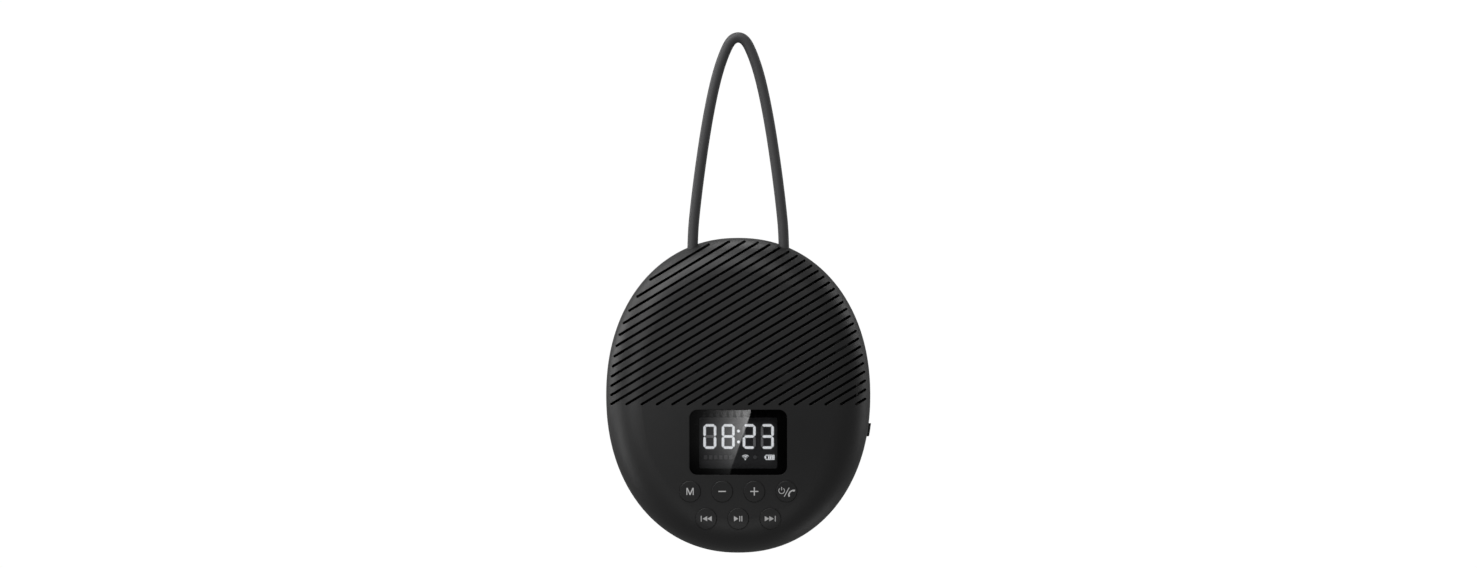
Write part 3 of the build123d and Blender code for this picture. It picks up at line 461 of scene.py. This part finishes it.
def printSymbol(button, outlines):
    low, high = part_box(button)
    middle = (low + high) / 2
    cap = BVHTree.FromPolygons([v.co for v in nodes[button].data.vertices],
                               [list(p.vertices) for p in nodes[button].data.polygons])
    bm = bmesh.new()
    for outline in outlines:
        bm.faces.new([bm.verts.new((middle.x + x / 1000, 0, middle.z + z / 1000)) for x, z in outline])
    bm.normal_update()
    bmesh.ops.triangulate(bm, faces=bm.faces, ngon_method="EAR_CLIP")
    for _ in range(printSetup["divisions"]):
        longEdges = [edge for edge in bm.edges if edge.calc_length() > printSetup["step"]]
        bmesh.ops.subdivide_edges(bm, edges=longEdges, cuts=1)
        bmesh.ops.triangulate(bm, faces=bm.faces, ngon_method="EAR_CLIP")
    extruded = bmesh.ops.extrude_face_region(bm, geom=list(bm.faces), use_keep_orig=True)
    raised = {part for part in extruded["geom"] if isinstance(part, bmesh.types.BMVert)}
    for vert in bm.verts:
        surface = cap.ray_cast(Vector((vert.co.x, -1, vert.co.z)), Vector((0, 1, 0)))[0].y
        vert.co.y = surface - printSetup["lift"] if vert in raised else surface + printSetup["sink"]
    bmesh.ops.recalc_face_normals(bm, faces=bm.faces)
    mesh = bpy.data.meshes.new(button + "_symbol")
    bm.to_mesh(mesh)
    bm.free()
    mesh.materials.append(materials["symbol_print"])
    piece = bpy.data.objects.new(button + "_symbol", mesh)
    scene.collection.objects.link(piece)
    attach(piece, button)


for button, outlines in symbols.items():
    printSymbol(button, outlines)
print("symbols printed")


# softboxes, all aimed at the housing
lampAim = Vector((0, -0.03, 0))
lamps = {
    "lamp_key": {"at": (-1.366, -0.518, 1.366), "size": (0.8, 0.8), "watts": 11.5},
    "lamp_high_left": {"at": (-0.661, -0.518, 1.815), "size": (0.8, 0.8), "watts": 9.2},
    "lamp_high": {"at": (0, -1.5, 1.9), "size": (1.6, 1.2), "watts": 13.6},
    "lamp_left": {"at": (-1.5, -1.6, 0.3), "size": (1.2, 1.2), "watts": 8.5},
    "lamp_low": {"at": (0, -1.6, -1.4), "size": (1.4, 1.0), "watts": 3.6},
    "rim_top": {"at": (0, 0.845, 1.813), "size": (0.8, 0.8), "watts": 6.5},
    "rim_upper_left": {"at": (-1.282, 0.845, 1.282), "size": (0.8, 0.8), "watts": 4.4},
    "rim_left": {"at": (-1.751, 0.845, 0.469), "size": (0.8, 0.8), "watts": 6.2},
    "rim_lower_left": {"at": (-1.925, 0.174, -0.516), "size": (0.8, 0.8), "watts": 3.9},
    "rim_upper_right": {"at": (1.57, 0.845, 0.906), "size": (0.8, 0.8), "watts": 3.7},
    "rim_right": {"at": (1.813, 0.845, 0), "size": (0.8, 0.8), "watts": 1.8},
    "rim_lower_right": {"at": (1.165, 0.845, -1.389), "size": (0.8, 0.8), "watts": 1.35},
}


def placeLamp(name, setup):
    data = bpy.data.lights.new(name, "AREA")
    data.shape = "RECTANGLE"
    data.size, data.size_y = setup["size"]
    data.energy = setup["watts"]
    lamp = bpy.data.objects.new(name, data)
    lamp.location = setup["at"]
    lamp.rotation_euler = (lampAim - Vector(setup["at"])).to_track_quat("-Z", "Y").to_euler()
    lamp.visible_camera = False
    scene.collection.objects.link(lamp)


for name, setup in lamps.items():
    placeLamp(name, setup)


# white behind the object, and how much light comes from all round
worldSetup = {
    "shown": 1.02,
    "around": 0.19,
}


def makeWorld(setup):
    world = bpy.data.worlds.new("studio")
    scene.world = world
    world.use_nodes = True
    tree, links = world.node_tree.nodes, world.node_tree.links
    shown = tree.new("ShaderNodeBackground")
    shown.inputs["Color"].default_value = (1, 1, 1, 1)
    shown.inputs["Strength"].default_value = setup["shown"]
    around = tree["Background"]
    around.inputs["Color"].default_value = (1, 1, 1, 1)
    around.inputs["Strength"].default_value = setup["around"]
    rays = tree.new("ShaderNodeLightPath")
    mix = tree.new("ShaderNodeMixShader")
    links.new(rays.outputs["Is Camera Ray"], mix.inputs["Fac"])
    links.new(around.outputs["Background"], mix.inputs[1])
    links.new(shown.outputs["Background"], mix.inputs[2])
    links.new(mix.outputs["Shader"], tree["World Output"].inputs["Surface"])


makeWorld(worldSetup)

floorSetup = {
    "z": -1.6,
    "radius": 12,
    "tint": (0.86, 0.86, 0.86),
}


def makeFloor(setup):
    bm = bmesh.new()
    bmesh.ops.create_circle(bm, cap_ends=True, segments=96, radius=setup["radius"],
                            matrix=Matrix.Translation((0, 0, setup["z"])))
    mesh = bpy.data.meshes.new("studio_floor")
    bm.to_mesh(mesh)
    bm.free()
    material, tree, links = newMaterial("pale_floor")
    shader = tree["Principled BSDF"]
    shader.inputs["Base Color"].default_value = (*setup["tint"], 1)
    shader.inputs["Roughness"].default_value = 0.9
    shader.inputs["Specular IOR Level"].default_value = 0.1
    mesh.materials.append(material)
    piece = bpy.data.objects.new("studio_floor", mesh)
    scene.collection.objects.link(piece)
    piece.visible_diffuse = False
    piece.visible_glossy = False


makeFloor(floorSetup)

# card that the clock window mirrors: its lit part on the left ends at a slant, and the rest is black
cardSetup = {
    "y": -1.53,
    "left": -0.50,
    "right": 0.50,
    "top": 0.0,
    "bottom": -0.62,
    "slant": ((0.0815, -0.0756), (-0.0550, -0.468)),    # two points of the lit part's edge, x and z
    "soft": 0.003,                                      # half the edge's blur
    "glow": 1.24,
    "faint": 0.026,
    "fade": (-0.297, 0.058),                            # x from faint to full
    "rise": (-0.468, -0.275),                           # z from dim to full
    "dim": 0.05,
}


def makeCard(setup):
    bm = bmesh.new()
    corners = [bm.verts.new((x, setup["y"], z)) for x, z in
               ((setup["left"], setup["top"]), (setup["right"], setup["top"]),
                (setup["right"], setup["bottom"]), (setup["left"], setup["bottom"]))]
    bm.faces.new(corners)
    mesh = bpy.data.meshes.new("studio_card")
    bm.to_mesh(mesh)
    bm.free()
    material, tree, links = newMaterial("card_glow")
    tree.remove(tree["Principled BSDF"])
    apart = tree.new("ShaderNodeSeparateXYZ")
    links.new(tree.new("ShaderNodeTexCoord").outputs["Object"], apart.inputs["Vector"])
    (topX, topZ), (lowX, lowZ) = setup["slant"]
    across = (topX - lowX) / (topZ - lowZ)
    lean = tree.new("ShaderNodeMath")          # how far right of the slanted edge
    lean.operation = "MULTIPLY_ADD"
    lean.inputs[1].default_value = -across
    links.new(apart.outputs["Z"], lean.inputs[0])
    links.new(apart.outputs["X"], lean.inputs[2])
    edge = topX - across * topZ
    lit = ramp(tree, links, lean.outputs[0], edge + setup["soft"], edge - setup["soft"])
    risen = ramp(tree, links, apart.outputs["Z"], *setup["rise"], setup["dim"])
    faded = tree.new("ShaderNodeMath")
    faded.operation = "POWER"
    faded.inputs[1].default_value = 3
    links.new(ramp(tree, links, apart.outputs["X"], *setup["fade"]), faded.inputs[0])
    shine = tree.new("ShaderNodeMath")
    shine.operation = "MULTIPLY_ADD"
    shine.inputs[1].default_value = setup["glow"]
    shine.inputs[2].default_value = setup["faint"]
    links.new(faded.outputs[0], shine.inputs[0])
    level = combine(tree, links, "MULTIPLY", lit, shine.outputs[0])
    level = combine(tree, links, "MULTIPLY", level, risen)
    glow = tree.new("ShaderNodeEmission")
    links.new(level, glow.inputs["Strength"])
    links.new(glow.outputs["Emission"], tree["Material Output"].inputs["Surface"])
    mesh.materials.append(material)
    piece = bpy.data.objects.new("studio_card", mesh)
    scene.collection.objects.link(piece)
    for ray in ("camera", "diffuse", "shadow", "transmission", "volume_scatter"):
        setattr(piece, "visible_" + ray, False)
    receivers = bpy.data.collections.new("card_receivers")
    receivers.objects.link(nodes["display_lens"])
    piece.light_linking.receiver_collection = receivers


makeCard(cardSetup)
print("studio lit")

bpy.context.view_layer.update()
